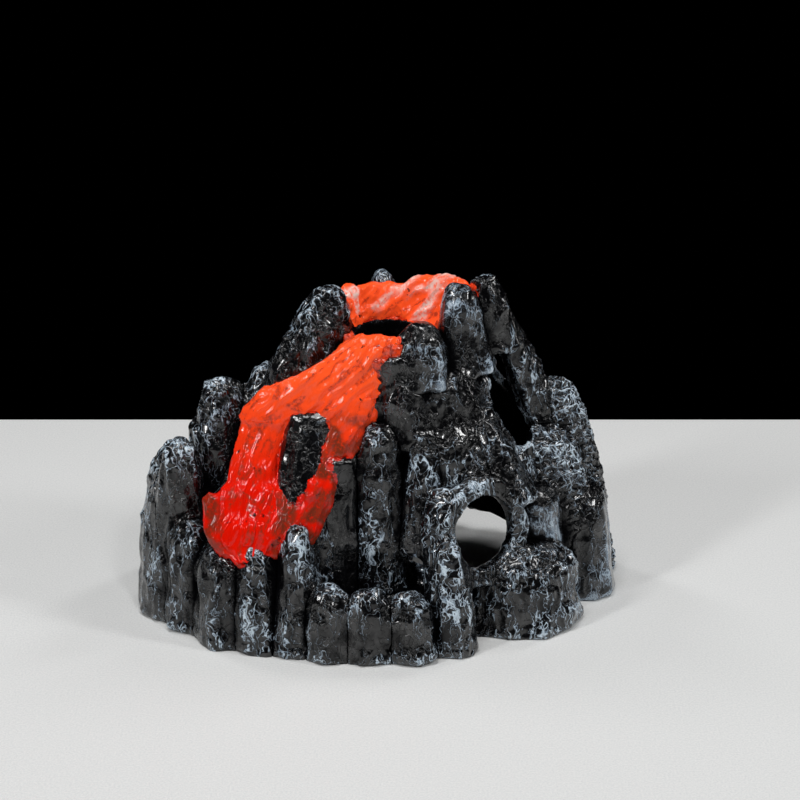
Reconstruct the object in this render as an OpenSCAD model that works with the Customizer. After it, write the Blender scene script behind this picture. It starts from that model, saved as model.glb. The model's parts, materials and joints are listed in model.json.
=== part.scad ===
// Hollow resin volcano for an aquarium: a thin mountain casting, open underneath, with stone
// castings bonded round it, a crater, a round cave mouth, a low rear arch and a red lava flow.
// Millimetres, +Z up. The origin is under the middle of the footprint, on the floor.
// The front, with the basin and the lava, faces -Y.

/* [Mountain] */
// Height of the crater lip above the floor
crater_z = 84; // [78:1:90]
// Wall thickness of the mountain casting
wall = 4; // [3:0.5:5]
// Radius of the hole down through the crater
throat_r = 9.5; // [8:0.5:10.5]
// Thickness of the ring of resin round the crater hole
crater_rim = 3.5; // [3:0.5:5]
// How far the stones are swollen so that they press against each other
swell = 1.08; // [1:0.02:1.12]
// How far the surface of every stone strays from smooth, as a share of its width
roughness = 0.1; // [0:0.02:0.16]

/* [Cave] */
// Radius of the round cave mouth
cave_r = 10.75; // [9:0.25:11]
// Width of the collar round the cave mouth
collar_rim = 4.5; // [3:0.5:6]
// Height of the top of the rear arch above the floor
arch_h = 14; // [12:1:16]
// Width of the rear arch at the floor
arch_w = 76; // [64:2:80]

/* [Basin] */
// Height of the basin floor
basin_z = 12; // [9:1:14]
// Thickness of the basin floor
basin_t = 4; // [3:0.5:5]

/* [Hidden] */
crater_xy = [3, 1];
crater_or = throat_r + crater_rim;
cave_at = [30, -23, 31.4];
cave_turn = -52;
cave_tilt = 10;
collar_t = 4;
collar_or = cave_r + collar_rim;
passage_l = 25;
passage_flare = 12;
arch_x = 18;
arch_start_y = 12;
arch_l = 50;
sky = 30;
gap = 0.3;
smooth = 72;
stone_sides = 10;
stone_steps = 7;
step_power = 1.5;
lump_share = 0.6;
dome_fall = 0.85;
dome_power = 2.6;
shell_top = 80;
cap_z = 68;
right_turn = -8;
rear_turn = 85;
front_turn = 265;
vent_at = [38, 6, 64];
vent_turn = -50;
vent_tilt = 30;
vent_l = 18;
vent_r = 8.5;
vent_in = 9;
vent_out = 15;
rock = "#26282c";
dark_resin = "#141416";
lava = "#f02814";

// The mountain casting: the directions in which its radius is given, counted in degrees from +X
// about the crater, and for each level its height and the radius in each of those directions.
shell_angles = [0, 20, 45, 70, 95, 120, 145, 170, 195, 215, 230, 245, 258, 270, 290, 305, 320, 345];
shell_levels = [
    [0,  [57, 60, 50, 43, 38, 43, 55, 62, 60, 55, 47, 29, 22, 19, 22, 34, 41, 49]],
    [28, [53, 58, 47, 40, 36, 40, 51, 59, 57, 51, 41, 25, 18, 16, 19, 28, 36, 45]],
    [50, [42, 50, 38, 31, 28, 30, 38, 46, 44, 37, 26, 17, 15, 14, 17, 20, 29, 33]],
    [cap_z, [29, 40, 34, 24, 20, 22, 27, 33, 33, 24, 17, 16, 15, 15, 16, 17, 19, 22]],
    [shell_top, [22, 37, 26, 16, 15, 15, 15, 16, 18, 16, 15, 15, 15, 15, 15, 15, 15, 16]]
];

function mix(a, b, t) = a + (b - a) * t;

// A solid skinned over rings that all have the same number of points, listed from the bottom up.
module skin(rings) {
    n = len(rings[0]);
    last = len(rings) - 1;
    sides = [
        for (i = [0 : last - 1])
            for (j = [0 : n - 1])
                let (k = (j + 1) % n)
                    for (f = [
                        [i * n + j, (i + 1) * n + j, i * n + k],
                        [i * n + k, (i + 1) * n + j, (i + 1) * n + k]
                    ])
                        f
    ];
    foot = [for (j = [0 : n - 1]) j];
    head = [for (j = [n - 1 : -1 : 0]) last * n + j];
    polyhedron(points = [for (ring = rings) each ring], faces = concat(sides, [foot, head]));
}

// One ring of the mountain, drawn in by inset.
function shell_ring(level, inset) = [
    for (i = [0 : len(shell_angles) - 1])
        let (r = level[1][i] - inset)
            [
                crater_xy[0] + r * cos(shell_angles[i]),
                crater_xy[1] + r * sin(shell_angles[i]),
                level[0]
            ]
];

// The outside of the mountain, with no hollow, from just below the floor.
module mountain_body() {
    foot = [-1, shell_levels[0][1]];
    skin([for (level = concat([foot], shell_levels)) shell_ring(level, 0)]);
}

// The space inside the mountain: its outline less the wall, from below the floor to above the cap's foot.
module mountain_hollow() {
    foot = [-2, shell_levels[0][1]];
    skin([for (level = concat([foot], shell_levels)) shell_ring(level, wall)]);
}

// All that lies above the walls.
module above_walls() {
    translate([-100, -100, cap_z])
        cube([200, 200, 100]);
}

// The cave mouth's own axis, pointing out of the mountain, as +Z.
module at_cave_mouth() {
    translate(cave_at)
        rotate([0, 90 - cave_tilt, cave_turn])
            children();
}

// The collar's seat and a clear way out of the cave, widening from the collar.
module cave_passage() {
    at_cave_mouth() {
        translate([0, 0, -passage_l])
            cylinder(h = passage_l + collar_t / 2, r = collar_or, $fn = smooth);
        translate([0, 0, collar_t / 2])
            cylinder(h = passage_l, r1 = cave_r + 1, r2 = cave_r + passage_flare, $fn = smooth);
    }
}

// The crater ring's seat, and a clear way up out of the hole.
module crater_seat() {
    translate([crater_xy[0], crater_xy[1], shell_top]) {
        cylinder(h = crater_z - shell_top, r = crater_or, $fn = smooth);
        cylinder(h = sky, r = throat_r + gap, $fn = smooth);
    }
}

module crater_hole() {
    translate([crater_xy[0], crater_xy[1], crater_z - sky])
        cylinder(h = 2 * sky, r = throat_r, $fn = smooth);
}

module arch_hole() {
    rise = (pow(arch_w / 2, 2) + pow(arch_h, 2)) / (2 * arch_h);
    translate([arch_x, arch_start_y, arch_h - rise])
        rotate([-90, 0, 0])
            cylinder(h = arch_l, r = rise, $fn = smooth);
}

// The vent high on the right flank: a slot through the wall, its long side down the slope.
module vent_hole() {
    translate(vent_at)
        rotate([0, 90 - vent_tilt, vent_turn])
            hull() {
                for (along = [-vent_l / 2, vent_l / 2])
                    translate([along, 0, -vent_in])
                        cylinder(h = vent_in + vent_out, r = vent_r, $fn = 24);
            }
}

// A stone is a list: foot middle, head middle, foot size, head size, turn, dome and seed.
// dome is the share of its height over which the top rounds in; the seed sets its roughness.
function dome_in(t, dome) =
    t <= 1 - dome ? 1 : sqrt(1 - dome_fall * pow((t - 1 + dome) / dome, dome_power));

function stone_rings(s) =
    let (
        around = rands(-1, 1, stone_sides, s[6]),
        lumps = rands(-1, 1, stone_sides * (stone_steps + 1), s[6] + 100)
    )
        [
            for (i = [0 : stone_steps])
                let (
                    t = 1 - pow(1 - i / stone_steps, step_power),
                    middle = mix(s[0], s[1], t),
                    size = swell * mix(s[2], s[3], t) * dome_in(t, s[5]) / 2
                )
                    [
                        for (j = [0 : stone_sides - 1])
                            let (
                                a = 360 * j / stone_sides,
                                lump = lump_share * lumps[i * stone_sides + j],
                                r = 1 + roughness * (around[j] + lump),
                                x = r * size[0] * cos(a),
                                y = r * size[1] * sin(a)
                            )
                                [
                                    middle[0] + x * cos(s[4]) - y * sin(s[4]),
                                    middle[1] + x * sin(s[4]) + y * cos(s[4]),
                                    middle[2]
                                ]
                    ]
        ];

module stone(s) {
    skin(stone_rings(s));
}

// A stone cut to sit against the mountain and against the stones laid before it.
module bedded(s, over = []) {
    color(rock)
        difference() {
            stone(s);
            mountain_body();
            for (o = over)
                stone(o);
            children();
        }
}

// Stones along the front rim, from the left end to the boulder under the cave.
left_end = [[-63, -7, 0], [-62, -7, 41], [17, 22], [12, 13], 0, 0.4, 1];
rim_far_left = [[-55, -20, 0], [-54, -17, 32], [13, 14], [10.5, 11], 0, 0.35, 2];
rim_left = [[-44.5, -28, 0], [-44.5, -25, 27.5], [12.5, 14], [10.5, 11], 0, 0.4, 3];
rim_notch = [[-34, -32, 0], [-34.5, -29, 28.5], [11, 13], [9, 10], 0, 0.4, 4];
rim_tall = [[-24.5, -36, 0], [-22, -31, 36], [11.5, 12], [8.5, 9], 0, 0.45, 5];
rim_low_left = [[-14, -40, 0], [-13.5, -39, 21], [12.5, 11], [11, 9], 0, 0.35, 6];
rim_low_middle = [[-2.3, -41, 0], [-2.3, -40, 20.5], [13.5, 11], [12.5, 9], 0, 0.35, 7];
rim_low_right = [[10, -40.5, 0], [9.5, -39.5, 19], [13, 11], [11.5, 9], 0, 0.35, 8];
rim_leaning = [[22, -36, 0], [20, -32, 31], [14, 13], [9, 10], 0, 0.5, 9];
cave_step = [[43, -17.2, 0], [42, -15, 23.5], [33, 28], [29, 22], 5, 0.3, 10];
// Columns up the left flank.
left_round = [[-57, -12, 8], [-57.5, -11, 55], [14, 14], [12, 11], 0, 0.3, 11];
left_tall = [[-51, -3, 6], [-46.5, 3, 62], [26, 18], [14, 11], 0, 0.2, 12];
left_cap = [[-45.5, 3, 58], [-45, 4, 67.5], [12, 10], [10, 8], 0, 0.5, 13];
left_shoulder = [[-35, 5, 50], [-31, 6, 71.5], [18, 14], [13, 10], 15, 0.5, 14];
// Columns that stand in the basin and in the lava.
basin_dark = [[-12, -21, 12], [-11.5, -18, 54.5], [11, 10], [9.5, 8.5], 0, 0.08, 15];
basin_broad = [[1, -20, 13], [0.5, -16, 61], [13, 10], [12, 9], 0, 0.35, 16];
basin_pointed = [[14.2, -21.5, 24], [12.5, -17, 58.5], [15.5, 10], [8.5, 7], 0, 0.7, 17];
lava_split = [[-25, -26, 30], [-18, -12, 66], [10, 9], [12, 9], 0, 0.06, 18];
// Stones between the basin, the cave and the vent.
upper_face = [[10, -13, 55], [5, -10, 76], [15, 10], [10, 8], -10, 0.5, 19];
vent_ridge_high = [[32, -7, 52], [20, -3, 75], [11, 11], [9, 9], 20, 0.3, 20];
vent_ridge_low = [[40.5, -14, 38], [30, -8, 61], [11, 10], [9, 9], 20, 0.4, 21];
cave_brow = [[27, -14, 43], [21, -11, 60], [19, 12], [14, 9], 25, 0.4, 22];
upper_side = [[22, -11, 52], [18, -8, 74], [17, 12], [13, 9], 10, 0.4, 48];
cave_cheek = [[20, -29, 10], [18, -26, 45], [12, 10], [9, 8], 0, 0.4, 49];
cave_side = [[47, -8, 16], [47, -6, 37], [14, 12], [12, 10], 20, 0.15, 23];
// Stones of the right flank.
scaly_slope = [[55, 4, 18], [50, 6, 52], [22, 16], [16, 12], 15, 0.4, 24];
right_buttress = [[62, 4.3, 0], [60, 7, 33], [18, 22.5], [15, 15], 3, 0.2, 25];
right_ridge_low = [[62.8, 17, 0], [60, 16, 47], [18, 20], [12, 13], 0, 0.4, 26];
right_ridge_middle = [[59.5, 17, 30], [53, 14, 64], [15, 15], [13, 13], 0, 0.45, 27];
right_ridge_high = [[50, 15, 50], [36.5, 12, 85], [13, 14], [9, 11], 0, 0.45, 28];
// Stones round the crater.
left_spire = [[-19.5, -1, 71], [-14, 1, 97], [22, 13], [11, 9], 15, 0.45, 29];
spire_foot = [[-25, -3, 66], [-22, -2, 83], [16, 12], [12, 9], 20, 0.5, 30];
rear_rock = [[2, 19, 64], [2.5, 20.5, 94.5], [16, 10], [9, 7], 0, 0.4, 31];
face_boulder = [[12, -8, 72], [12.5, -7, 89.5], [17, 13], [14, 11], -15, 0.45, 32];
crater_slab = [[26, 0, 72], [23, 3, 98], [15, 10], [9, 8], 15, 0.3, 33];
crater_peak = [[34, 9, 77], [31.5, 7, 98.5], [13, 13], [9, 9], 0, 0.5, 34];
// Stones round the back, from the left end to the right, those over the arch clear of the floor.
back_left_end = [[-64, 11, 0], [-61, 10, 44], [15, 22], [12, 14], 0, 0.35, 36];
back_left = [[-54, 25.5, 0], [-50, 21, 38], [19, 17], [15, 12], 35, 0.35, 37];
back_low_left = [[-40.5, 34.5, 0], [-37, 30, 30], [18, 14], [15, 11], 25, 0.35, 38];
arch_foot_left = [[-27, 38.5, 0], [-25, 35, 26], [14, 13], [12, 10], 10, 0.35, 39];
arch_over_left = [[-13, 40, 13], [-12, 36, 35], [17, 11], [14, 9], 5, 0.35, 40];
arch_over_middle = [[4, 41, 15], [4, 37, 32], [18, 10], [15, 9], 0, 0.35, 41];
arch_over_right = [[21, 40, 15], [19.5, 36, 36], [17, 11], [14, 9], -10, 0.35, 42];
arch_end_right = [[36, 36, 11], [34, 33, 31], [16, 12], [13, 10], -25, 0.35, 43];
back_low_right = [[50.5, 30, 0], [47, 27, 35], [18, 16], [14, 12], -35, 0.35, 44];
back_tall_left = [[-32, 25, 26], [-22, 17.5, 69], [30, 16], [19, 12], 28, 0.3, 45];
back_tall_right = [[18, 31.5, 26], [15, 22, 76], [32, 15], [20, 12], -12, 0.3, 47];

// Each run of lava: the middle of the flow on its way down, its width there and its thickness.
chute_path = [[1, -8, 85], [-4, -11, 81], [-11, -13, 75], [-17, -13, 69], [-20, -13, 64]];
chute_width = [17, 20, 24, 34, 38];
left_stream_path = [[-26, -9, 69], [-31, -13, 60], [-34, -18, 50], [-36, -24, 40], [-37, -29, 31]];
left_stream_width = [14, 15, 15, 15, 16];
right_stream_path = [[-8, -13, 68], [-11, -16, 59], [-15, -20, 50], [-20, -25, 40], [-24, -29, 32]];
right_stream_width = [13, 13, 12, 12, 12];
pool_path = [[-35, -22, 42], [-35, -26, 35], [-36, -31, 30], [-38, -36.5, 26]];
pool_width = [32, 30, 20, 5];
lava_t = 6;
flow_sides = 10;

// The lava wall round the back of the crater: direction, reach from the middle and height.
rim_wall = [
    [168, 11.5, 90], [150, 13, 95.5], [130, 13, 93.5], [110, 13.5, 94], [90, 14, 93], [76, 14, 92],
    [60, 15, 95], [42, 17, 97], [28, 19, 97.5], [15, 22, 97], [6, 25, 95]
];
rim_wall_t = 2.4;
rim_wall_root = 6;

function unit(v) = v / norm(v);

// A flattened tube along a path: rings across the flow, width wide and thick deep.
function flow_rings(path, width, thick) = [
    for (i = [0 : len(path) - 1])
        let (
            ahead = unit(path[min(i + 1, len(path) - 1)] - path[max(i - 1, 0)]),
            across = [1, 0, 0],
            up = unit(cross(across, ahead))
        )
            [
                for (j = [0 : flow_sides - 1])
                    let (a = 360 * j / flow_sides)
                        path[i] - across * cos(a) * width[i] / 2 + up * sin(a) * thick / 2
            ]
];

module flow(path, width) {
    skin(flow_rings(path, width, lava_t));
}

// What the lava lies on: the mountain, the crater ring and the stones that it laps against.
module lava_bed(over) {
    mountain_body();
    crater_seat();
    for (o = over)
        stone(o);
}

// The upright wedge between two directions, counted in degrees from +X about the middle.
module wedge(from, to) {
    far = 3 * shell_top;
    linear_extrude(cap_z)
        polygon([[0, 0], for (turn = [from, mix(from, to, 0.5), to]) far * [cos(turn), sin(turn)]]);
}

// The thin wall of the mountain between two directions, open underneath.
module mountain_wall(from, to) {
    color(dark_resin)
        difference() {
            intersection() {
                mountain_body();
                wedge(from, to);
            }
            mountain_hollow();
            arch_hole();
            vent_hole();
            at_cave_mouth()
                cylinder(h = 40, r = collar_or, center = true, $fn = smooth);
        }
}

module wall_right_rear() {
    mountain_wall(right_turn, rear_turn);
}

module wall_left_rear() {
    mountain_wall(rear_turn, 180);
}

module wall_left_front() {
    mountain_wall(180, front_turn);
}

module wall_right_front() {
    mountain_wall(front_turn, 360 + right_turn);
}

// The block that closes the walls at the top and holds the hole down through the crater.
module crater_cap() {
    color(dark_resin)
        difference() {
            intersection() {
                mountain_body();
                above_walls();
            }
            crater_hole();
            vent_hole();
        }
}

module crater_ring() {
    color(dark_resin)
        translate([crater_xy[0], crater_xy[1], shell_top])
            difference() {
                cylinder(h = crater_z - shell_top, r = crater_or, $fn = smooth);
                translate([0, 0, -1])
                    cylinder(h = crater_z - shell_top + 2, r = throat_r, $fn = smooth);
            }
}

module cave_collar() {
    color(rock)
        at_cave_mouth()
            difference() {
                cylinder(h = collar_t, r = collar_or, center = true, $fn = smooth);
                cylinder(h = collar_t + 2, r = cave_r, center = true, $fn = smooth);
            }
}

module basin_floor() {
    color(dark_resin)
        difference() {
            translate([0, 0, basin_z - basin_t])
                linear_extrude(basin_t)
                    polygon([[-20, -34], [-8, -38], [12, -38], [21, -32], [20, -16], [-20, -16]]);
            mountain_body();
            for (s = [rim_tall, rim_low_left, rim_low_middle, rim_low_right, rim_leaning, cave_cheek])
                stone(s);
        }
}

module lava_rim() {
    color(lava)
        difference() {
            skin([
                for (w = rim_wall)
                    [
                        for (p = [
                            [throat_r + gap, crater_z - rim_wall_root],
                            [crater_or, crater_z - rim_wall_root],
                            [w[1] + rim_wall_t, w[2]],
                            [w[1], w[2]]
                        ])
                            [
                                crater_xy[0] + p[0] * cos(w[0]),
                                crater_xy[1] + p[0] * sin(w[0]),
                                p[1]
                            ]
                    ]
            ]);
            crater_seat();
            mountain_body();
            stone(crater_slab);
            stone(left_spire);
        }
}

module lava_chute() {
    color(lava)
        difference() {
            flow(chute_path, chute_width);
            lava_bed([left_spire, spire_foot, left_shoulder, face_boulder]);
            lava_bed([upper_face, lava_split]);
        }
}

module lava_left_stream() {
    color(lava)
        difference() {
            flow(left_stream_path, left_stream_width);
            lava_bed([left_tall, left_shoulder, spire_foot, lava_split, rim_tall]);
            flow(chute_path, chute_width);
        }
}

module lava_right_stream() {
    color(lava)
        difference() {
            flow(right_stream_path, right_stream_width);
            lava_bed([lava_split, basin_dark, basin_broad, upper_face, rim_tall]);
            flow(chute_path, chute_width);
            flow(left_stream_path, left_stream_width);
        }
}

module lava_pool() {
    color(lava)
        difference() {
            flow(pool_path, pool_width);
            lava_bed([rim_far_left, rim_left, rim_notch, rim_tall, left_tall, left_round, lava_split]);
            flow(left_stream_path, left_stream_width);
            flow(right_stream_path, right_stream_width);
        }
}

module left_end_stone() {
    bedded(left_end);
}

module rim_far_left_stone() {
    bedded(rim_far_left, [left_end]);
}

module rim_left_stone() {
    bedded(rim_left, [rim_far_left]);
}

module rim_notch_stone() {
    bedded(rim_notch, [rim_tall, rim_left]);
}

module rim_tall_stone() {
    bedded(rim_tall);
}

module rim_low_left_stone() {
    bedded(rim_low_left, [rim_low_middle, rim_tall]);
}

module rim_low_middle_stone() {
    bedded(rim_low_middle);
}

module rim_low_right_stone() {
    bedded(rim_low_right, [rim_low_middle]);
}

module rim_leaning_stone() {
    bedded(rim_leaning, [rim_low_right])
        cave_passage();
}

module cave_step_stone() {
    bedded(cave_step)
        cave_passage();
}

module left_round_stone() {
    bedded(left_round, [left_end, rim_far_left]);
}

module left_tall_stone() {
    bedded(left_tall, [left_end, left_round]);
}

module left_cap_stone() {
    bedded(left_cap, [left_tall]);
}

module left_shoulder_stone() {
    bedded(left_shoulder, [left_tall, left_cap]);
}

module basin_dark_stone() {
    bedded(basin_dark);
}

module basin_broad_stone() {
    bedded(basin_broad);
}

module basin_pointed_stone() {
    bedded(basin_pointed);
}

module lava_split_stone() {
    bedded(lava_split, [rim_tall, basin_dark]);
}

module upper_face_stone() {
    bedded(upper_face, [basin_pointed, face_boulder, basin_broad]);
}

module vent_ridge_high_stone() {
    bedded(vent_ridge_high, [vent_ridge_low, crater_slab]);
}

module vent_ridge_low_stone() {
    bedded(vent_ridge_low)
        cave_passage();
}

module cave_brow_stone() {
    bedded(cave_brow, [upper_side, upper_face, vent_ridge_low, vent_ridge_high, basin_pointed])
        cave_passage();
}

module upper_side_stone() {
    bedded(upper_side, [vent_ridge_high, face_boulder, upper_face, basin_pointed, vent_ridge_low]);
}

module cave_cheek_stone() {
    bedded(cave_cheek, [rim_leaning, basin_pointed])
        cave_passage();
}

module cave_side_stone() {
    bedded(cave_side, [cave_step])
        cave_passage();
}

module scaly_slope_stone() {
    bedded(scaly_slope, [right_buttress, right_ridge_low, right_ridge_middle, cave_side]);
}

module right_buttress_stone() {
    bedded(right_buttress);
}

module right_ridge_low_stone() {
    bedded(right_ridge_low, [right_buttress]);
}

module right_ridge_middle_stone() {
    bedded(right_ridge_middle, [right_buttress, right_ridge_low]);
}

module right_ridge_high_stone() {
    bedded(right_ridge_high, [right_ridge_middle, crater_peak]);
}

module left_spire_stone() {
    bedded(left_spire)
        crater_seat();
}

module spire_foot_stone() {
    bedded(spire_foot, [left_spire, left_shoulder]);
}

module rear_rock_stone() {
    bedded(rear_rock)
        crater_seat();
}

module face_boulder_stone() {
    bedded(face_boulder)
        crater_seat();
}

module crater_slab_stone() {
    bedded(crater_slab)
        crater_seat();
}

module crater_peak_stone() {
    bedded(crater_peak, [crater_slab]);
}

module back_left_end_stone() {
    bedded(back_left_end, [left_end, left_tall]);
}

module back_left_stone() {
    bedded(back_left, [back_left_end]);
}

module back_low_left_stone() {
    bedded(back_low_left, [back_left]);
}

module arch_foot_left_stone() {
    bedded(arch_foot_left, [back_low_left]);
}

module arch_over_left_stone() {
    bedded(arch_over_left, [arch_foot_left]);
}

module arch_over_middle_stone() {
    bedded(arch_over_middle, [arch_over_left]);
}

module arch_over_right_stone() {
    bedded(arch_over_right, [arch_over_middle]);
}

module arch_end_right_stone() {
    bedded(arch_end_right, [arch_over_right]);
}

module back_low_right_stone() {
    bedded(back_low_right, [arch_end_right]);
}

module back_tall_left_stone() {
    bedded(back_tall_left, [left_shoulder, back_left, back_low_left]);
}

module back_tall_right_stone() {
    bedded(back_tall_right, [arch_over_right, arch_end_right]);
}

wall_right_rear();
wall_left_rear();
wall_left_front();
wall_right_front();
crater_cap();
crater_ring();
cave_collar();
basin_floor();
lava_rim();
lava_chute();
lava_left_stream();
lava_right_stream();
lava_pool();
left_end_stone();
rim_far_left_stone();
rim_left_stone();
rim_notch_stone();
rim_tall_stone();
rim_low_left_stone();
rim_low_middle_stone();
rim_low_right_stone();
rim_leaning_stone();
cave_step_stone();
left_round_stone();
left_tall_stone();
left_cap_stone();
left_shoulder_stone();
basin_dark_stone();
basin_broad_stone();
basin_pointed_stone();
lava_split_stone();
upper_face_stone();
vent_ridge_high_stone();
vent_ridge_low_stone();
cave_brow_stone();
upper_side_stone();
cave_cheek_stone();
cave_side_stone();
scaly_slope_stone();
right_buttress_stone();
right_ridge_low_stone();
right_ridge_middle_stone();
right_ridge_high_stone();
left_spire_stone();
spire_foot_stone();
rear_rock_stone();
face_boulder_stone();
crater_slab_stone();
crater_peak_stone();
back_left_end_stone();
back_left_stone();
back_low_left_stone();
arch_foot_left_stone();
arch_over_left_stone();
arch_over_middle_stone();
arch_over_right_stone();
arch_end_right_stone();
back_low_right_stone();
back_tall_left_stone();
back_tall_right_stone();
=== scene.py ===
"""The looks of the resin volcano.

Every CAD node is replaced by a piece that is sculpted again from its own solid. The rock's solids are
blended into one surface, and the lava's into another. Noise crumples both surfaces, and each piece is the
stretch of one that is its node's own.
"""

import json
import math

import bpy
import numpy as np
import openvdb as vdb
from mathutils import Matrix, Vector


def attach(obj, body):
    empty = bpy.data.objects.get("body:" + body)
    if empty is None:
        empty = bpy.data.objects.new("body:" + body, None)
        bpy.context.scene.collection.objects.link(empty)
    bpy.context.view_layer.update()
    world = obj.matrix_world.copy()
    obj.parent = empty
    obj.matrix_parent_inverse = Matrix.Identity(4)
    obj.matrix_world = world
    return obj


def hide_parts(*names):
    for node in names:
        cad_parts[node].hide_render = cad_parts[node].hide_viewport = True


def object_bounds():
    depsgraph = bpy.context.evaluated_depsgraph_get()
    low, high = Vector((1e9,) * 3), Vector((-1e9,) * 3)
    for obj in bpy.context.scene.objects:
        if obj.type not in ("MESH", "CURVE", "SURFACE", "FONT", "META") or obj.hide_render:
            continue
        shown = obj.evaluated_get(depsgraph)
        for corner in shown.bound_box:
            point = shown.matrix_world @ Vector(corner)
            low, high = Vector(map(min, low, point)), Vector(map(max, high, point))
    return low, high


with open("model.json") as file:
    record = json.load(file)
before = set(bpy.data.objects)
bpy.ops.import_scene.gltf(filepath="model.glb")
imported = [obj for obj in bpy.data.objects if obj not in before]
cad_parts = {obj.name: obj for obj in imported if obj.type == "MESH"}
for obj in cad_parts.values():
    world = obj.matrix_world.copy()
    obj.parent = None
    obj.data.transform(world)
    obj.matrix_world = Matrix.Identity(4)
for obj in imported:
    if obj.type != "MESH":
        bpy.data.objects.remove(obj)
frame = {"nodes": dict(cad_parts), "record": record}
cad_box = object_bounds()

MM = 0.001
MOUNTS = {mount["name"]: mount for mount in frame["record"]["mounts"]}
THROAT = MOUNTS["crater_throat"]
CAVE = MOUNTS["cave_mouth"]
LAVA = [node for node in frame["nodes"] if node.startswith("lava_") and not node.endswith("_stone")]
ROCK = [node for node in frame["nodes"] if node not in LAVA]

# ---------------------------------------------------------------- camera, floor and light

LENS_MM = 100
SENSOR_MM = 36
VIEW_ELEVATION = math.radians(22)
VIEW_DISTANCE = 0.65
VIEW_TARGET = Vector((0.0066, 0.0, 0.063))

# The floor ends a little behind the object, where the photo turns black.
FLOOR_LOW = (-0.7, -0.7)
FLOOR_HIGH = (0.7, 0.137)

# A softbox has a place and a size in metres, and a power in watts.
LIT_POINT = (0, 0, 0.04)
SOFTBOXES = {
    "top_softbox": ((-0.05, -0.10, 0.75), (0.22, 0.18), 1.9),
    "front_softbox": ((0.18, -0.50, 0.62), (0.08, 0.12), 0.85),
    "key_softbox": ((-0.52, -0.40, 0.52), (0.08, 0.22), 2.05),
    "right_softbox": ((0.60, -0.20, 0.50), (0.07, 0.26), 1.5),
    "rear_left_softbox": ((-0.35, 0.30, 0.60), (0.10, 0.25), 0.72),
    "rear_right_softbox": ((0.35, 0.30, 0.60), (0.10, 0.25), 0.72),
}


def aim(thing, place, target):
    """Puts a camera or light into the scene at place, looking at target."""
    thing.location = place
    thing.rotation_euler = (Vector(target) - Vector(place)).to_track_quat("-Z", "Y").to_euler()
    bpy.context.scene.collection.objects.link(thing)


def make_camera():
    """A camera in front of the object, looking down at VIEW_ELEVATION."""
    data = bpy.data.cameras.new("camera")
    data.lens = LENS_MM
    data.sensor_width = SENSOR_MM
    camera = bpy.data.objects.new("camera", data)
    back = Vector((0, -math.cos(VIEW_ELEVATION), math.sin(VIEW_ELEVATION)))
    aim(camera, VIEW_TARGET + back * VIEW_DISTANCE, VIEW_TARGET)
    bpy.context.scene.camera = camera


def make_softbox(name, place, size, power):
    """A rectangular area light that looks at LIT_POINT."""
    data = bpy.data.lights.new(name, "AREA")
    data.shape = "RECTANGLE"
    data.size, data.size_y = size
    data.energy = power
    aim(bpy.data.objects.new(name, data), place, LIT_POINT)


def make_lights():
    """All the softboxes, in a room that is otherwise black."""
    for name, (place, size, power) in SOFTBOXES.items():
        make_softbox(name, place, size, power)
    world = bpy.data.worlds.new("dark_studio")
    world.use_nodes = True
    world.node_tree.nodes["Background"].inputs["Color"].default_value = (0, 0, 0, 1)
    bpy.context.scene.world = world
    bpy.context.scene.view_settings.view_transform = "Standard"


# ---------------------------------------------------------------- material nodes

# Over 1, it thins the lines that crest draws.
CREST_POWER = 1.5

# A noise node's values are nearly all between these.
NOISE_LOW = 0.3
NOISE_HIGH = 0.7


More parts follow.
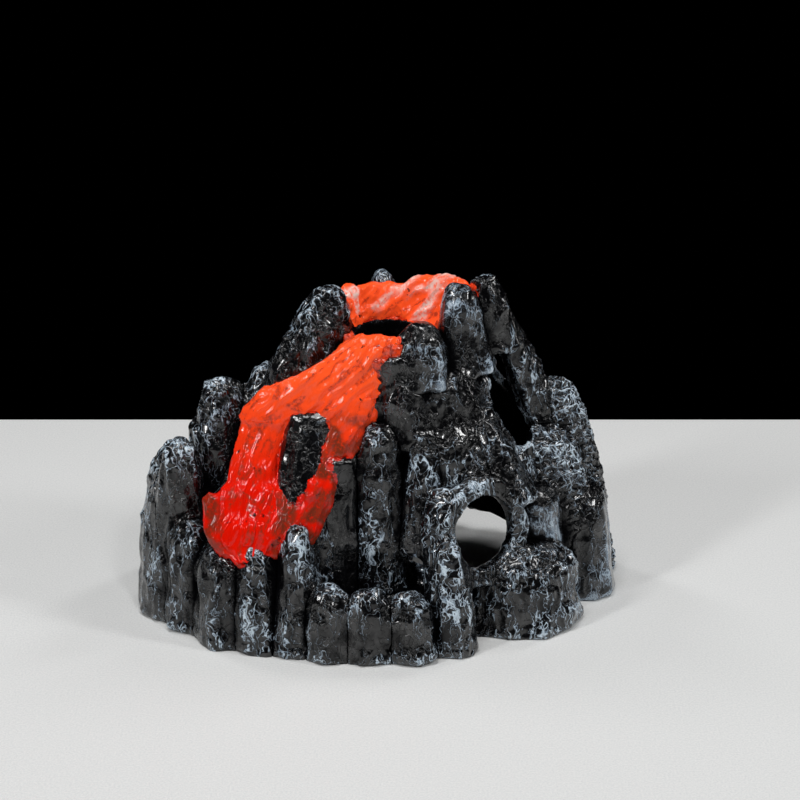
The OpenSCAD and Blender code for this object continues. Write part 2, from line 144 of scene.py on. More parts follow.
class Nodes:
    """A material's node tree, with short ways to add the nodes that these materials use."""

    def __init__(self, name):
        self.material = bpy.data.materials.new(name)
        self.material.use_nodes = True
        self.tree = self.material.node_tree
        self.shader = self.tree.nodes["Principled BSDF"]
        self.place = self.add("ShaderNodeTexCoord").outputs["Object"]

    def add(self, kind, **values):
        """A new node of that kind, with these settings."""
        node = self.tree.nodes.new(kind)
        for key, value in values.items():
            setattr(node, key, value)
        return node

    def put(self, source, socket):
        """Feeds a socket from another node's output, or sets it to a plain value."""
        if isinstance(source, bpy.types.NodeSocket):
            self.tree.links.new(source, socket)
        else:
            socket.default_value = source

    def look(self, sources):
        """Puts a source or a plain value on each of the shader's sockets that it names."""
        for name, source in sources.items():
            self.put(source, self.shader.inputs[name])

    def attribute(self, name):
        """The value that the mesh carries at each point under that name."""
        return self.add("ShaderNodeAttribute", attribute_name=name).outputs["Fac"]

    def stretched(self, scale, place):
        """The place, scaled on each axis: under 1 draws a pattern out along it."""
        node = self.add("ShaderNodeMapping")
        self.put(place, node.inputs["Vector"])
        node.inputs["Scale"].default_value = scale
        return node.outputs["Vector"]

    def warped(self, size, reach):
        """The place, pushed about by up to half of reach, so that the lines drawn in it wander."""
        push = self.add("ShaderNodeTexNoise")
        self.put(self.place, push.inputs["Vector"])
        push.inputs["Scale"].default_value = 1 / size
        node = self.add("ShaderNodeVectorMath", operation="MULTIPLY_ADD")
        self.put(push.outputs["Color"], node.inputs[0])
        node.inputs[1].default_value = (reach, reach, reach)
        self.put(self.place, node.inputs[2])
        return node.outputs[0]

    def noise(self, size, detail, place=None, roughness=0.55):
        """Noise from 0 to 1 with lumps of that size."""
        node = self.add("ShaderNodeTexNoise")
        self.put(place or self.place, node.inputs["Vector"])
        node.inputs["Scale"].default_value = 1 / size
        node.inputs["Detail"].default_value = detail
        node.inputs["Roughness"].default_value = roughness
        return node.outputs["Fac"]

    def crest(self, source, sharpness):
        """Folds a noise about its middle: 1 along thin wandering lines, 0 away from them."""
        away = self.math("ABSOLUTE", self.math("SUBTRACT", source, 0.5))
        line = self.math("SUBTRACT", 1.0, self.math("MULTIPLY", away, sharpness))
        return self.math("POWER", self.math("MAXIMUM", line, 0.0), CREST_POWER)

    def cell_edges(self, size, place):
        """The distance to the nearest edge of scattered cells, in cell sizes."""
        node = self.add("ShaderNodeTexVoronoi", feature="DISTANCE_TO_EDGE")
        self.put(place, node.inputs["Vector"])
        node.inputs["Scale"].default_value = 1 / size
        return node.outputs["Distance"]

    def math(self, operation, a, b=0.0):
        """One operation on one or two values."""
        node = self.add("ShaderNodeMath", operation=operation)
        for socket, source in zip(node.inputs, (a, b)):
            self.put(source, socket)
        return node.outputs[0]

    def span(self, source, low, high, to_low=0.0, to_high=1.0):
        """Maps low..high to to_low..to_high, and holds the ends."""
        node = self.add("ShaderNodeMapRange")
        for name, value in (
            ("Value", source),
            ("From Min", low),
            ("From Max", high),
            ("To Min", to_low),
            ("To Max", to_high),
        ):
            self.put(value, node.inputs[name])
        return node.outputs["Result"]

    def vary(self, noise, low, high):
        """A value that wanders from low to high as a noise does."""
        return self.span(noise, NOISE_LOW, NOISE_HIGH, low, high)

    def ramp(self, source, stops):
        """A colour that runs through the stops, each a place from 0 to 1 and a colour."""
        node = self.add("ShaderNodeValToRGB")
        self.put(source, node.inputs["Fac"])
        elements = node.color_ramp.elements
        while len(elements) < len(stops):
            elements.new(1.0)
        for element, (place, colour) in zip(elements, stops):
            element.position = place
            element.color = (*colour, 1)
        return node.outputs["Color"]

    def mix(self, share, a, b):
        """Colour a where share is 0, and b where it is 1."""
        node = self.add("ShaderNodeMix", data_type="RGBA")
        self.put(share, node.inputs["Factor"])
        for name, source in (("A", a), ("B", b)):
            socket = [s for s in node.inputs if s.name == name and s.type == "RGBA"][0]
            self.put((*source, 1) if isinstance(source, tuple) else source, socket)
        return [s for s in node.outputs if s.type == "RGBA"][0]

    def bump(self, height, depth, strength):
        """Tilts the shading as if the surface rose by height times depth."""
        node = self.add("ShaderNodeBump")
        self.put(height, node.inputs["Height"])
        node.inputs["Distance"].default_value = depth
        node.inputs["Strength"].default_value = strength
        self.put(node.outputs["Normal"], self.shader.inputs["Normal"])


# ---------------------------------------------------------------- materials

# Bare black resin, then the blue-white paint as the dry brush leaves more of it.
PAINT_STOPS = [
    (0.0, (0.0015, 0.0015, 0.002)),
    (0.42, (0.005, 0.0052, 0.006)),
    (0.52, (0.055, 0.062, 0.072)),
    (0.63, (0.23, 0.30, 0.38)),
    (0.90, (0.68, 0.80, 0.90)),
]
FILM_RED = (0.80, 0.008, 0.001)
FILM_ORANGE = (0.92, 0.070, 0.014)
FILM_BROWN = (0.30, 0.010, 0.003)
LAVA_RED = (0.86, 0.008, 0.001)
LAVA_ORANGE = (0.92, 0.085, 0.017)
THIN_BROWN = (0.16, 0.028, 0.012)
STREAK_BROWN = (0.34, 0.030, 0.012)
# Pale pink streaks on the lava's rim: a milky look of the resin, partly a painted highlight.
MILKY_GLINT_PINK = (0.74, 0.54, 0.48)
SOOT_BLACK = (0.030, 0.008, 0.005)
FLOOR_STOPS = [(NOISE_LOW, (0.70, 0.71, 0.71)), (NOISE_HIGH, (0.80, 0.80, 0.79))]

# Scaling an axis by under 1 draws a texture out along it.
THREAD_SCALE = (1, 1, 0.18)
SHEEN_SCALE = (1, 1, 0.40)
WRINKLE_SCALE = (1, 0.7, 0.30)

# What the rock's threads add to the brush, between them and along their middles.
THREAD_PAINT = (-0.24, 0.41)

# How strong the crumples are beside the fibres.
CRUMPLE_SHARE = 0.75


def paint_threads(n, place):
    """Thin upright fibres, fainter crumples and, on the scaly stones, the edges of the scales."""
    upright = n.stretched(THREAD_SCALE, place)
    fibres = n.crest(n.noise(size=2.8 * MM, detail=2.0, place=upright), sharpness=19)
    crumples = n.crest(n.noise(size=3.6 * MM, detail=2.0, place=place), sharpness=22)
    threads = n.math("MAXIMUM", fibres, n.math("MULTIPLY", crumples, CRUMPLE_SHARE))
    scale_edges = n.span(n.cell_edges(size=2.4 * MM, place=place), 0.11, 0.04)
    scale_lines = n.math("MULTIPLY", n.attribute("scaly"), scale_edges)
    return n.math("MULTIPLY", n.math("MAXIMUM", threads, scale_lines), n.attribute("lively"))


def rock_material():
    """Black resin, glossy in patches, with pale paint on its crests and a red film next to the lava. As
    painted shade, the gloss is taken off in the hollows, the throat and the inside.
    """
    n = Nodes("dry_brushed_black_resin")
    place = n.warped(size=4.0 * MM, reach=4.5 * MM)
    threads = paint_threads(n, place)
    bristle = n.noise(size=0.35 * MM, detail=2.0, roughness=0.7)
    grain = n.noise(size=1.6 * MM, detail=5.0)
    sheen = n.noise(size=3.4 * MM, detail=2.0, place=n.stretched(SHEEN_SCALE, place))

    brush = n.math("ADD", n.attribute("brush"), n.span(threads, 0.0, 1.0, *THREAD_PAINT))
    brush = n.math("ADD", brush, n.vary(bristle, -0.09, 0.09))
    film = n.math("ADD", n.attribute("stain"), n.vary(grain, -0.35, 0.35))
    bright_film = n.mix(n.attribute("warmth"), FILM_RED, FILM_ORANGE)
    film_colour = n.mix(n.span(grain, 0.35, 0.6), FILM_BROWN, bright_film)
    colour = n.mix(n.span(film, 0.45, 0.62), n.ramp(brush, PAINT_STOPS), film_colour)

    # Painted shade: where the mesh marks shade, the specular and coat gloss are taken away, so that these
    # places stay black.
    unshaded_share = n.math("SUBTRACT", 1.0, n.attribute("deep"))
    gloss = n.math("MULTIPLY", unshaded_share, n.span(sheen, 0.34, 0.60, to_low=0.35, to_high=1.0))
    n.look({
        "Base Color": colour,
        "Specular IOR Level": n.math("MULTIPLY", gloss, 0.65),
        "Coat Weight": n.math("MULTIPLY", gloss, 0.80),
        "Roughness": n.vary(grain, 0.14, 0.30),
        "Coat Roughness": 0.06,
    })
    folds = n.math("ADD", threads, n.math("MULTIPLY", sheen, 1.5))
    n.bump(n.math("ADD", folds, n.math("MULTIPLY", grain, 0.12)), depth=0.42 * MM, strength=0.7)
    return n.material


def lava_material():
    """Glossy red lava resin, orange high up, with a painted glow that grows towards the top, brown and
    sooty marks, and pale streaks on the rim that are partly a painted highlight.
    """
    n = Nodes("glossy_lava_resin")
    place = n.warped(size=4.0 * MM, reach=3.0 * MM)
    grain = n.noise(size=1.1 * MM, detail=5.0)
    warmth = n.attribute("warmth")
    colour = n.mix(warmth, LAVA_RED, LAVA_ORANGE)
    # Brown where the lava is thin, darker brown streaks, and pale pink streaks on the rim that are partly a
    # painted highlight.
    for name, grain_low, grain_high, mark in (
        ("thin", 0.20, 0.50, THIN_BROWN),
        ("streak", 0.35, 0.60, STREAK_BROWN),
        ("milky_glint", 0.30, 0.60, MILKY_GLINT_PINK),
    ):
        share = n.math("MULTIPLY", n.attribute(name), n.span(grain, grain_low, grain_high))
        colour = n.mix(share, colour, mark)
    soot = n.math("ADD", n.attribute("soot"), n.vary(grain, -0.25, 0.25))
    colour = n.mix(n.span(soot, 0.62, 0.80), colour, SOOT_BLACK)
    # Painted glow: the lava sends out light in its own colour, weak low down and stronger high up, though
    # it is no lamp.
    n.look({
        "Base Color": colour,
        "Emission Color": colour,
        "Emission Strength": n.span(warmth, 0.0, 1.0, to_low=0.03, to_high=0.30),
        "Roughness": n.vary(grain, 0.08, 0.20),
        "Specular IOR Level": 0.18,
        "Coat Weight": 0.20,
        "Coat Roughness": 0.03,
    })
    wrinkles = n.noise(size=2.6 * MM, detail=2.0, place=n.stretched(WRINKLE_SCALE, place))
    lumps = n.noise(size=2.2 * MM, detail=2.0)
    n.bump(n.math("ADD", n.crest(wrinkles, sharpness=4), lumps), depth=0.24 * MM, strength=0.5)
    return n.material


def floor_material():
    """Matt and pale, with a fine grain."""
    n = Nodes("pale_floor")
    grain = n.noise(size=0.6 * MM, detail=2.0)
    n.look({"Base Color": n.ramp(grain, FLOOR_STOPS), "Roughness": 0.9})
    n.bump(grain, depth=0.3 * MM, strength=0.5)
    return n.material


def make_floor():
    """The flat sheet that the object stands on."""
    (x0, y0), (x1, y1) = FLOOR_LOW, FLOOR_HIGH
    mesh = bpy.data.meshes.new("floor")
    mesh.from_pydata([(x0, y0, 0), (x1, y0, 0), (x1, y1, 0), (x0, y1, 0)], [], [(0, 1, 2, 3)])
    mesh.materials.append(floor_material())
    floor = bpy.data.objects.new("floor", mesh)
    bpy.context.scene.collection.objects.link(floor)


# ---------------------------------------------------------------- distance fields

# One grid, PAD wider than the CAD box, holds every field. A distance is held up to FAR from a surface.
VOXEL = 0.45 * MM
FAR = 4 * MM
PAD = 4 * MM
LOW = np.floor((np.array(cad_box[0]) - PAD) / VOXEL).astype(np.int32)
HIGH = np.ceil((np.array(cad_box[1]) + PAD) / VOXEL).astype(np.int32)
SHAPE = tuple(HIGH - LOW + 1)

# It keeps a direction from being divided by nothing.
TINY = 1e-9

# The stones that the photo shows standing out further than their CAD solids do.
GROWN_STONES = {
    "rim_left_stone": 2.2 * MM,
    "rim_notch_stone": 1.3 * MM,
    "lava_split_stone": 1.2 * MM,
}


def solid_field(node):
    """A CAD node's signed distance, in metres, and the window of the grid where it is under FAR."""
    mesh = frame["nodes"][node].data
    mesh.calc_loop_triangles()
    points = np.empty(len(mesh.vertices) * 3, np.float32)
    mesh.vertices.foreach_get("co", points)
    corners = np.empty(len(mesh.loop_triangles) * 3, np.int32)
    mesh.loop_triangles.foreach_get("vertices", corners)
    grid = vdb.FloatGrid.createLevelSetFromPolygons(
        points.reshape(-1, 3),
        triangles=corners.reshape(-1, 3).astype(np.uint32),
        transform=vdb.createLinearTransform(voxelSize=VOXEL),
        halfWidth=FAR / VOXEL,
    )
    first, last = (np.array(corner) for corner in grid.evalActiveVoxelBoundingBox())
    first = np.maximum(first, LOW)
    last = np.minimum(last, HIGH)
    values = np.empty(last - first + 1, np.float32)
    grid.copyToArray(values, ijk=tuple(int(i) for i in first))
    window = tuple(slice(a, b) for a, b in zip(first - LOW, last - LOW + 1))
    return values - GROWN_STONES.get(node, 0.0), window


def blend_fields(fields, softness, reach):
    """One smoothed field for several solids, filleted where they meet, and the distance to the nearest."""
    total = np.zeros(SHAPE, np.float32)
    nearest = np.full(SHAPE, FAR, np.float32)
    edge = math.exp(-FAR / softness)
    for values, window in fields.values():
        total[window] += np.maximum(np.exp(-values / softness) - edge, 0) / (1 - edge)
        nearest[window] = np.minimum(nearest[window], values)
    merged = -softness * np.log(np.maximum(total, edge))
    return box_blur(merged, max(1, round(reach / VOXEL))), nearest


def box_blur(field, reach):
    """The mean of a field over a box that reaches reach voxels each way."""
    for axis in range(3):
        edge = [(0, 0)] * 3
        edge[axis] = (reach + 1, reach)
        sums = np.cumsum(np.pad(field, edge, mode="edge"), axis=axis, dtype=np.float64)
        size = field.shape[axis]
        width = 2 * reach + 1
        upper = np.take(sums, range(width, width + size), axis=axis)
        lower = np.take(sums, range(size), axis=axis)
        field = ((upper - lower) / width).astype(np.float32)
    return field


def sample(field, points):
    """A field's values at points, in metres, by trilinear interpolation."""
    place = points / VOXEL - LOW
    cell = np.clip(np.floor(place), 0, np.array(SHAPE) - 2).astype(np.int32)
    share = (place - cell).astype(np.float32)
    total = np.zeros(len(points), np.float32)
    for corner in np.ndindex(2, 2, 2):
        weight = np.prod(np.where(corner, share, 1 - share), axis=1)
        x, y, z = (cell + corner).T
        total += weight * field[x, y, z]
    return total


def slope(field, points):
    """The direction in which a field grows fastest."""
    steps = np.eye(3, dtype=np.float32) * VOXEL
    rise = np.stack([sample(field, points + s) - sample(field, points - s) for s in steps], axis=1)
    return rise / np.maximum(np.linalg.norm(rise, axis=1, keepdims=True), TINY)


def solid_share(merged, reach):
    """The share of the space within about reach of each grid point that is solid."""
    occupied = np.clip(0.5 - merged / (2 * VOXEL), 0, 1).astype(np.float32)
    voxels = round(reach / VOXEL)
    return box_blur(box_blur(occupied, voxels), voxels)


# ---------------------------------------------------------------- noise

# All the noises come from these tables, the same on every run.
TABLE = np.random.default_rng(7).permutation(256).astype(np.int32)
GRADIENTS = np.random.default_rng(8).normal(size=(256, 3)).astype(np.float32)
GRADIENTS /= np.linalg.norm(GRADIENTS, axis=1, keepdims=True)
FEATURES = np.random.default_rng(9).random((256, 3)).astype(np.float32)

# It brings the noise to about -1 to 1.
NOISE_GAIN = 1.6

# How fast a ridge or crease falls away from its line, and how much the ridge's crest is sharpened.
RIDGE_FALL = 1.3
RIDGE_POWER = 1.3
CREASE_FALL = 2.2

# More cell sizes than the nearest scattered cell can be away.
NO_CELL_YET = 9.0


def hashed(cell, seed):
    """A number from 0 to 255 for each cell."""
    x, y, z = cell.T & 255
    return TABLE[(TABLE[(TABLE[(x + seed) & 255] + y) & 255] + z) & 255]


def noise(points, size, seed):
    """Smooth gradient noise from about -1 to 1, with lumps of that size."""
    place = points / size
    cell = np.floor(place).astype(np.int32)
    share = (place - cell).astype(np.float32)
    fade = share * share * share * (share * (share * 6 - 15) + 10)
    total = np.zeros(len(points), np.float32)
    for corner in np.ndindex(2, 2, 2):
        lean = np.sum(GRADIENTS[hashed(cell + corner, seed)] * (share - corner), axis=1)
        total += np.prod(np.where(corner, fade, 1 - fade), axis=1) * lean
    return total * NOISE_GAIN


def noise_vector(points, size, seeds):
    """Three noises side by side, which push points about."""
    return np.stack([noise(points, size, seed) for seed in seeds], axis=1)


def ridges(points, size, seed):
    """Noise folded into sharp crests, from 0 to 1 on the crest."""
    return np.clip(1 - np.abs(noise(points, size, seed)) * RIDGE_FALL, 0, 1) ** RIDGE_POWER


def creases(points, size, seed):
    """Sharp lines between scattered cells of that size, from 0 to 1 on the line."""
    place = points / size
    cell = np.floor(place).astype(np.int32)
    first = np.full(len(points), NO_CELL_YET, np.float32)
    second = first.copy()
    for step in np.ndindex(3, 3, 3):
        near = cell + (np.array(step) - 1)
        gap = np.linalg.norm(near + FEATURES[hashed(near, seed)] - place, axis=1).astype(np.float32)
        second = np.minimum(second, np.maximum(first, gap))
        first = np.minimum(first, gap)
    return np.clip(1 - (second - first) * CREASE_FALL, 0, 1) ** 2


def smooth_step(values, low, high):
    """0 below low, 1 above high and an S-shaped rise between them."""
    share = np.clip((values - low) / (high - low), 0, 1)
    return share * share * (3 - 2 * share)


# ---------------------------------------------------------------- meshes


def largest_part(points, quads):
    """Drops the loose specks, and keeps the largest connected surface."""
    label = np.arange(len(points))
    a = quads.astype(np.int64).ravel()
    b = np.roll(quads, 1, axis=1).astype(np.int64).ravel()
    while True:
        lowest = np.minimum(label[a], label[b])
        new = label.copy()
        np.minimum.at(new, a, lowest)
        np.minimum.at(new, b, lowest)
        new = new[new]
        if np.array_equal(new, label):
            break
        label = new
    keep = label == np.bincount(label).argmax()
    number = np.cumsum(keep) - 1
    kept = quads[keep[quads[:, 0]]]
    return points[keep], number[kept].astype(np.int32)


def surface(field, window):
    """The zero surface of a window of the grid: points in metres and four-sided faces."""
    grid = vdb.FloatGrid(FAR)
    grid.transform = vdb.createLinearTransform(voxelSize=VOXEL)
    first = tuple(int(s.start + low) for s, low in zip(window, LOW))
    grid.copyFromArray(np.ascontiguousarray(field), ijk=first)
    points, _, quads = grid.convertToPolygons(isovalue=0, adaptivity=0)
    return largest_part(points, quads)


def divide(fields, merged, nearest, steepness):
    """Divides the merged surface among the nodes, each of which gets the stretch nearest to its own solid.

    Next to a neighbour, a piece dives under the merged surface, more steeply with more steepness. The call
    gives the points of all the pieces, which of them belong to each node, and each node's faces.
    """
    clouds, parts, faces = [], {}, {}
    start = 0
    for node, (values, window) in fields.items():
        points, faces[node] = surface(merged[window] + steepness * (values - nearest[window]), window)
        parts[node] = slice(start, start + len(points))
        start += len(points)
        clouds.append(points)
    return np.concatenate(clouds), parts, faces


def spread(parts, value_of):
    """Gives every point the value of its node."""
    return np.concatenate([np.full(part.stop - part.start, value_of(node)) for node, part in parts.items()])


def make_pieces(points, parts, faces, values, material):
    """One mesh for each node, from its own points, faces and named values at the points."""
    for node, part in parts.items():
        own_values = {key: numbers[part] for key, numbers in values.items()}
        make_piece(node, points[part], faces[node], own_values, material)


def make_piece(node, points, quads, values, material):
    """The piece that replaces a node."""
    name = node + "_resin"
    mesh = bpy.data.meshes.new(name)
    mesh.vertices.add(len(points))
    mesh.vertices.foreach_set("co", points.astype(np.float32).ravel())
    mesh.loops.add(quads.size)
    mesh.loops.foreach_set("vertex_index", quads[:, ::-1].ravel())
    mesh.polygons.add(len(quads))
    mesh.polygons.foreach_set("loop_start", np.arange(0, quads.size, 4, dtype=np.int32))
    mesh.update(calc_edges=True)
    mesh.shade_smooth()
    for key, numbers in values.items():
        layer = mesh.attributes.new(key, "FLOAT", "POINT")
        layer.data.foreach_set("value", numbers.astype(np.float32))
    mesh.materials.append(material)
    piece = bpy.data.objects.new(name, mesh)
    bpy.context.scene.collection.objects.link(piece)
    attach(piece, "root")
    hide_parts(node)


def bore_gap(points, mount):
    """How far points are outside a bore's wall, in metres."""
    away = points - np.array(mount["pos_m"])
    axis = np.array(mount["axis"]) / np.linalg.norm(mount["axis"])
    return np.linalg.norm(away - np.outer(away @ axis, axis), axis=1) - mount["dims"]["r_mm"] * MM


# ---------------------------------------------------------------- rock

# How widely neighbouring stones are filleted, how far the result is smoothed, and how steeply a stone dives
# under its neighbours.
ROCK_SOFTNESS = 1.4 * MM
ROCK_SMOOTHING = 0.5 * MM
ROCK_SEAMS = 3.0

# How near an edge is felt by the fine highlights on it, and by the broad ones.
FINE_REACH = 1.0 * MM
BROAD_REACH = 2.5 * MM

# The share of the crumpling that the smoother stones have. Every other stone has all of it.
SMOOTH_STONES = {
    "right_buttress_stone": 0.35,
    "cave_side_stone": 0.30,
    "basin_dark_stone": 0.45,
    "crater_slab_stone": 0.45,
    "face_boulder_stone": 0.45,
    "lava_split_stone": 0.4,
    "basin_floor": 0.4,
}
INNER_CALM = 0.25

# A pale grey that lies on whole stones, beyond the paint that catches on their crests: partly dust, and
# partly a painted sheen on their smooth faces.
DUST_AND_SHEEN_STONES = {
    "cave_side_stone": 0.58,
    "right_buttress_stone": 0.42,
    "crater_slab_stone": 0.46,
    "face_boulder_stone": 0.46,
    "cave_step_stone": 0.14,
    "lava_split_stone": 0.20,
    "upper_face_stone": 0.08,
    "left_spire_stone": 0.06,
    "rim_tall_stone": 0.06,
    "cave_collar": 0.06,
}
SCALY_STONES = ["scaly_slope_stone", "right_ridge_low_stone", "right_ridge_middle_stone"]
INNER = ["crater_cap", "wall_right_rear", "wall_left_rear", "wall_left_front", "wall_right_front"]

# How far a surface leans towards the throat's axis, or the ground, to count as the inside of the hollow.
FACING_AXIS = -0.3
FACING_GROUND = -0.5

# Scaling an axis by under 1 draws a texture out along it.
FIBRE_SCALE = np.array([1, 1, 0.20])
CRUMPLE_SCALE = np.array([1, 1, 0.7])
PATCH_SCALE = np.array([1, 1, 0.6])
SCALY_SCALE = np.array([0.8, 1, 1.2])

# How deep the lumps and the crumpled relief are, in millimetres, and the relief that stays where it is.
LUMP_DEPTH = 0.7
RELIEF_DEPTH = 1.10
RELIEF_MIDDLE = 0.55

# The paint that the dry brush leaves on bare resin, and what it gains or loses on each kind of place.
BARE_BRUSH = 0.13
LINE_BRUSH = 0.34
FINE_EDGE_BRUSH = 1.3
BROAD_EDGE_BRUSH = 0.55
PATCH_BRUSH = 0.24
SCALY_BRUSH = -0.10
TOP_BRUSH = 0.05
CALM_BRUSH = -0.06
UPPER_BRUSH = -0.03

# The red film is on stones near the lava, all over the crater's ring, and never on these two stones.
FILM_SHARES = {"crater_ring": 1, "rim_left_stone": 0, "rim_notch_stone": 0}

# The heights, in millimetres, between which crumples take over on the rock, and the lava turns orange and
# its painted glow grows.
UPPER_ROCK = (45, 72)
WARM_LAVA = (42, 78)


def rock_texture(p, normals, edge_broad, scaly, upper):
    """The rock's relief, about 1 on the crests, and the lines of it that catch paint, at p in millimetres.

    On tops and high up, crumples take over from the upright fibres. Scaly stones have scales instead.
    """
    drift = noise_vector(p, size=8.0, seeds=(11, 12, 13))
    fibres = ridges(p * FIBRE_SCALE + 2.2 * drift, size=4.6, seed=23)
    crumple = ridges(p * CRUMPLE_SCALE + 2.6 * drift, size=6.0, seed=24)
    fine = ridges(p + 1.2 * drift, size=2.8, seed=25)
    net = creases(p + 1.6 * drift, size=4.6, seed=26)
    scales = creases(p * SCALY_SCALE + drift, size=3.0, seed=27)
    top = smooth_step(edge_broad + 0.25 * normals[:, 2], 0.05, 0.30)
    fibre_share = 0.95 - 0.35 * top - 0.35 * upper
    crumple_share = 0.35 + 0.45 * top + 0.55 * upper
    relief = fibre_share * fibres + crumple_share * crumple + 0.10 * fine + 0.30 * top * net
    relief = relief * (1 - scaly) + (0.9 * scales + 0.10 * fine) * scaly
    lines = np.maximum(fibres, crumple) ** 4 * (1 - scaly) + scales * scaly
    return relief, lines


def shape_rock(points, normals, edge_fine, edge_broad, calm, scaly, upper):
    """How far each point moves out, in metres, and how much pale paint the dry brush leaves there.

    The crumpling and its paint come in patches, and they are strongest near edges.
    """
    p = points / MM
    relief, lines = rock_texture(p, normals, edge_broad, scaly, upper)
    lumps = noise(p, size=9.0, seed=21)
    patch = noise(p * PATCH_SCALE, size=11.0, seed=22)
    rough = np.clip(0.75 + 0.6 * patch + 1.8 * edge_broad, 0.16, 1.1) * calm
    height = LUMP_DEPTH * lumps * np.minimum(2 * calm, 1)
    height += RELIEF_DEPTH * rough * (relief - RELIEF_MIDDLE)
    brush = BARE_BRUSH + LINE_BRUSH * rough * lines + PATCH_BRUSH * patch
    brush += FINE_EDGE_BRUSH * edge_fine + BROAD_EDGE_BRUSH * edge_broad + TOP_BRUSH * normals[:, 2]
    brush += SCALY_BRUSH * scaly + CALM_BRUSH * (1 - calm) + UPPER_BRUSH * upper * (1 - scaly)
    return height * MM, brush


def faces_chamber(points, normals):
    """True where the surface faces the throat's axis or the ground, as it does inside the hollow."""
    away = (points - np.array(THROAT["pos_m"]))[:, :2]
    outward = np.sum(away * normals[:, :2], axis=1)
    reach = np.linalg.norm(away, axis=1)
    return (outward < FACING_AXIS * reach) | (normals[:, 2] < FACING_GROUND)


def build_rock(fields, merged, nearest, lava_field):
    """The pieces of every rock node."""
    points, parts, faces = divide(fields, merged, nearest, ROCK_SEAMS)
    normals = slope(merged, points)
    edge_fine = 0.5 - sample(solid_share(merged, FINE_REACH), points)
    edge_broad = 0.5 - sample(solid_share(merged, BROAD_REACH), points)
    throat_gap = bore_gap(points, THROAT)
    inside = spread(parts, lambda node: node in INNER) & faces_chamber(points, normals)
    scaly = spread(parts, lambda node: float(node in SCALY_STONES))
    calm = spread(parts, lambda node: SMOOTH_STONES.get(node, 1.0))
    upper = smooth_step(points[:, 2] / MM, *UPPER_ROCK)

    # The material's own threads are fainter on smooth stones and, unless the stone is scaly, high up.
    lively = np.clip(calm * 1.2, 0, 1) * (1 - 0.2 * upper * (1 - scaly))

    # The inside is calmer, and both bores and the foot keep the CAD's shape.
    calm[inside] = INNER_CALM
    calm *= smooth_step(throat_gap, 0.2 * MM, 3.0 * MM)
    calm *= smooth_step(bore_gap(points, CAVE), -0.35 * MM, 0.85 * MM)
    calm *= smooth_step(points[:, 2], 0.0, 2.0 * MM)
    height, brush = shape_rock(points, normals, edge_fine, edge_broad, calm, scaly, upper)

    # A pale grey, partly dust and partly a painted sheen, lies mostly on steep faces. The film stops at the
    # throat. As painted shade, the hollows and the throat lose their gloss.
    dust_and_sheen = spread(parts, lambda node: DUST_AND_SHEEN_STONES.get(node, 0.0))
    dust_and_sheen *= 1 - 0.75 * smooth_step(normals[:, 2], 0.25, 0.65)
    hollow = smooth_step(-edge_broad, 0.01, 0.12)
    in_throat = 1 - smooth_step(throat_gap, 0.5 * MM, 1.3 * MM)
    stain = smooth_step(-sample(lava_field, points), -1.8 * MM, 0.2 * MM) * np.where(inside, 0, 1)
    for node, share in FILM_SHARES.items():
        stain[parts[node]] = share
    stain *= smooth_step(throat_gap, 0.3 * MM, 1.1 * MM)
    values = {
        # The brush value also carries the pale grey that is partly dust and partly painted sheen; the
        # inside gets none.
        "brush": np.where(inside, 0.0, brush + dust_and_sheen),
        "stain": stain,
        "scaly": scaly,
        # Painted shade: 1 all over the inside of the hollow, and rising in the hollows and the throat,
        # where the material takes the gloss off.
        "deep": np.where(inside, 1.0, np.maximum(hollow, in_throat)),
        "lively": lively,
        "warmth": smooth_step(points[:, 2] / MM, *WARM_LAVA),
    }
    points = points + normals * height[:, None]
    points[:, 2] = np.maximum(points[:, 2], 0)
    make_pieces(points, parts, faces, values, rock_material())


# ---------------------------------------------------------------- lava

# As for the rock, and how far the lava stands out beyond its CAD solids.
LAVA_SOFTNESS = 2.6 * MM
LAVA_SMOOTHING = 1.4 * MM
LAVA_SEAMS = 0.8
LAVA_SWELL = 0.5 * MM

# The way that the lava runs over each node.
FLOW = {
    "lava_rim": (0.80, 0.10, 0.59),
    "lava_chute": (-0.72, -0.20, -0.66),
    "lava_left_stream": (-0.25, -0.45, -0.86),
    "lava_right_stream": (-0.38, -0.38, -0.84),
    "lava_pool": (-0.12, -0.66, -0.74),
}

# The share of its length along the flow that the lava's texture loses to be drawn out.
FLOW_SQUEEZE = 0.92

# How far the surface is smoothed to tell the lava's torn sides from its face.
SIDE_REACH = 2.5 * MM

# The depth of each texture, in millimetres, and what is taken off them all.
FOLD_DEPTH = 1.0
THREAD_DEPTH = 0.40
LAVA_LUMP_DEPTH = 0.25
TEXTURE_SINK = 0.05
BROAD_TONGUES = 2.0
FINE_TONGUES = 1.1

# The pool's tip thins out between these distances in front of the middle, in millimetres.
TIP_START = 30.0
TIP_END = 36.0
TIP_THINNING = 3.0


def drawn_out(p, parts):
    """Points in millimetres, squeezed along the flow, so that noise drawn in them stretches along it."""
    along = np.concatenate([
        np.tile(np.array(FLOW[node]) / np.linalg.norm(FLOW[node]), (part.stop - part.start, 1))
        for node, part in parts.items()
    ])
    travel = np.sum(p * along, axis=1, keepdims=True)
    return p - FLOW_SQUEEZE * travel * along + noise_vector(p, size=6.0, seeds=(31, 32, 33))


def thin_lava(p, parts):
    """Where the lava is thin and brown: down the right stream and on the pool's flanks, in patches."""
    thin = np.zeros(len(p), np.float32)
    right, pool = parts["lava_right_stream"], parts["lava_pool"]
    depth = p[right, 2].max() - p[right, 2]
    thin[right] = smooth_step(depth, 2.0, 9.0)
    across = p[pool, 0]
    off_middle = np.abs(2 * (across - across.min()) / (across.max() - across.min()) - 1)
    thin[pool] = 0.9 * smooth_step(off_middle, 0.25, 0.75)
    return thin * (0.95 * smooth_step(noise(p, size=5.0, seed=39), -0.45, 0.15))


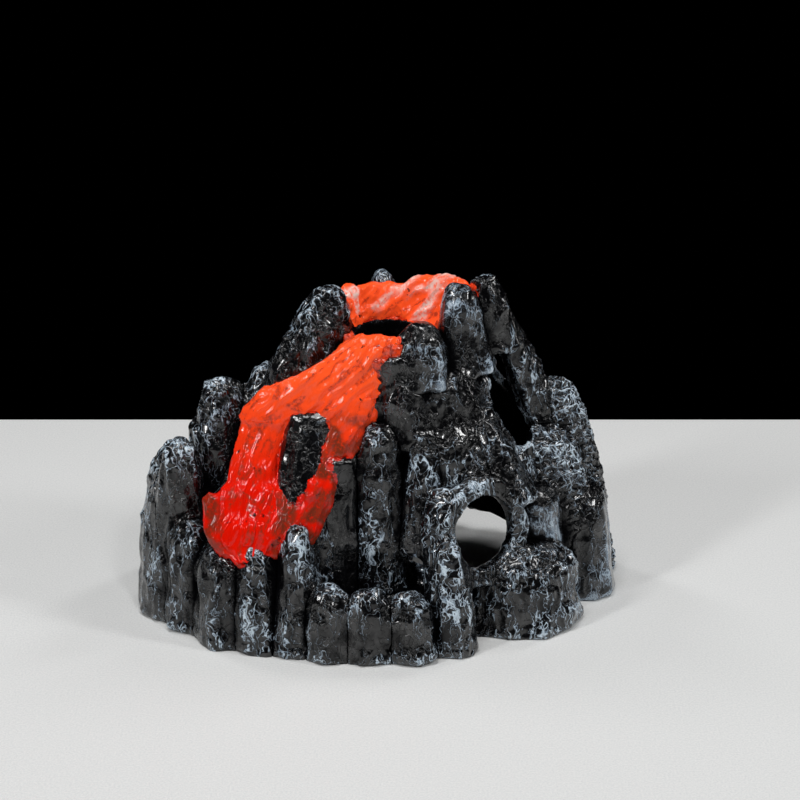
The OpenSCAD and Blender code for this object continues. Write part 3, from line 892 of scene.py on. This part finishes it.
def lava_sides(merged, rock_merged, points, normals):
    """1 on the lava's sides, where it meets the rock, and 0 on its face."""
    whole = box_blur(np.minimum(merged, rock_merged), round(SIDE_REACH / VOXEL))
    turn = 1 - np.abs(np.sum(normals * slope(whole, points), axis=1))
    return smooth_step(turn, 0.15, 0.7)


def lava_height(p, drawn, side):
    """How far each point of the lava moves out, in millimetres."""
    folds = ridges(drawn, size=4.2, seed=34) ** 2
    threads = ridges(drawn, size=2.1, seed=35) ** 2
    lumps = noise(p, size=6.5, seed=36)
    tongues = BROAD_TONGUES * noise(p, size=4.2, seed=41) + FINE_TONGUES * noise(p, size=2.0, seed=42)
    height = FOLD_DEPTH * folds + THREAD_DEPTH * threads + LAVA_LUMP_DEPTH * lumps - TEXTURE_SINK
    return height + side * tongues - TIP_THINNING * smooth_step(-p[:, 1], TIP_START, TIP_END)


def build_lava(fields, merged, nearest, rock_merged):
    """The pieces of every lava node."""
    points, parts, faces = divide(fields, merged, nearest, LAVA_SEAMS)
    normals = slope(merged, points)
    side = lava_sides(merged, rock_merged, points, normals)
    p = points / MM
    drawn = drawn_out(p, parts)
    streaks = ridges(drawn, size=2.6, seed=43) + 0.5 * noise(p, size=6.0, seed=44)
    specks = 0.40 * noise(p, size=1.9, seed=37) + 0.30 * noise(p, size=7.0, seed=38)
    on_rim = spread(parts, lambda node: float(node == "lava_rim"))
    values = {
        "warmth": smooth_step(p[:, 2], *WARM_LAVA),
        "soot": 0.26 + specks + 0.15 * side,
        "thin": thin_lava(p, parts),
        # Pale streaks on the rim only, partly a painted highlight.
        "milky_glint": on_rim * smooth_step(noise(drawn, size=4.5, seed=40), 0.0, 0.45),
        "streak": 0.9 * smooth_step(streaks, 0.70, 1.0),
    }
    height = lava_height(p, drawn, side) * MM
    make_pieces(points + normals * height[:, None], parts, faces, values, lava_material())


# ---------------------------------------------------------------- the whole scene

make_camera()
make_lights()
make_floor()

rock_fields = {node: solid_field(node) for node in ROCK}
lava_fields = {node: solid_field(node) for node in LAVA}
rock_merged, rock_nearest = blend_fields(rock_fields, ROCK_SOFTNESS, ROCK_SMOOTHING)
lava_merged, lava_nearest = blend_fields(lava_fields, LAVA_SOFTNESS, LAVA_SMOOTHING)
lava_merged -= LAVA_SWELL
build_rock(rock_fields, rock_merged, rock_nearest, lava_merged)
build_lava(lava_fields, lava_merged, lava_nearest, rock_merged)
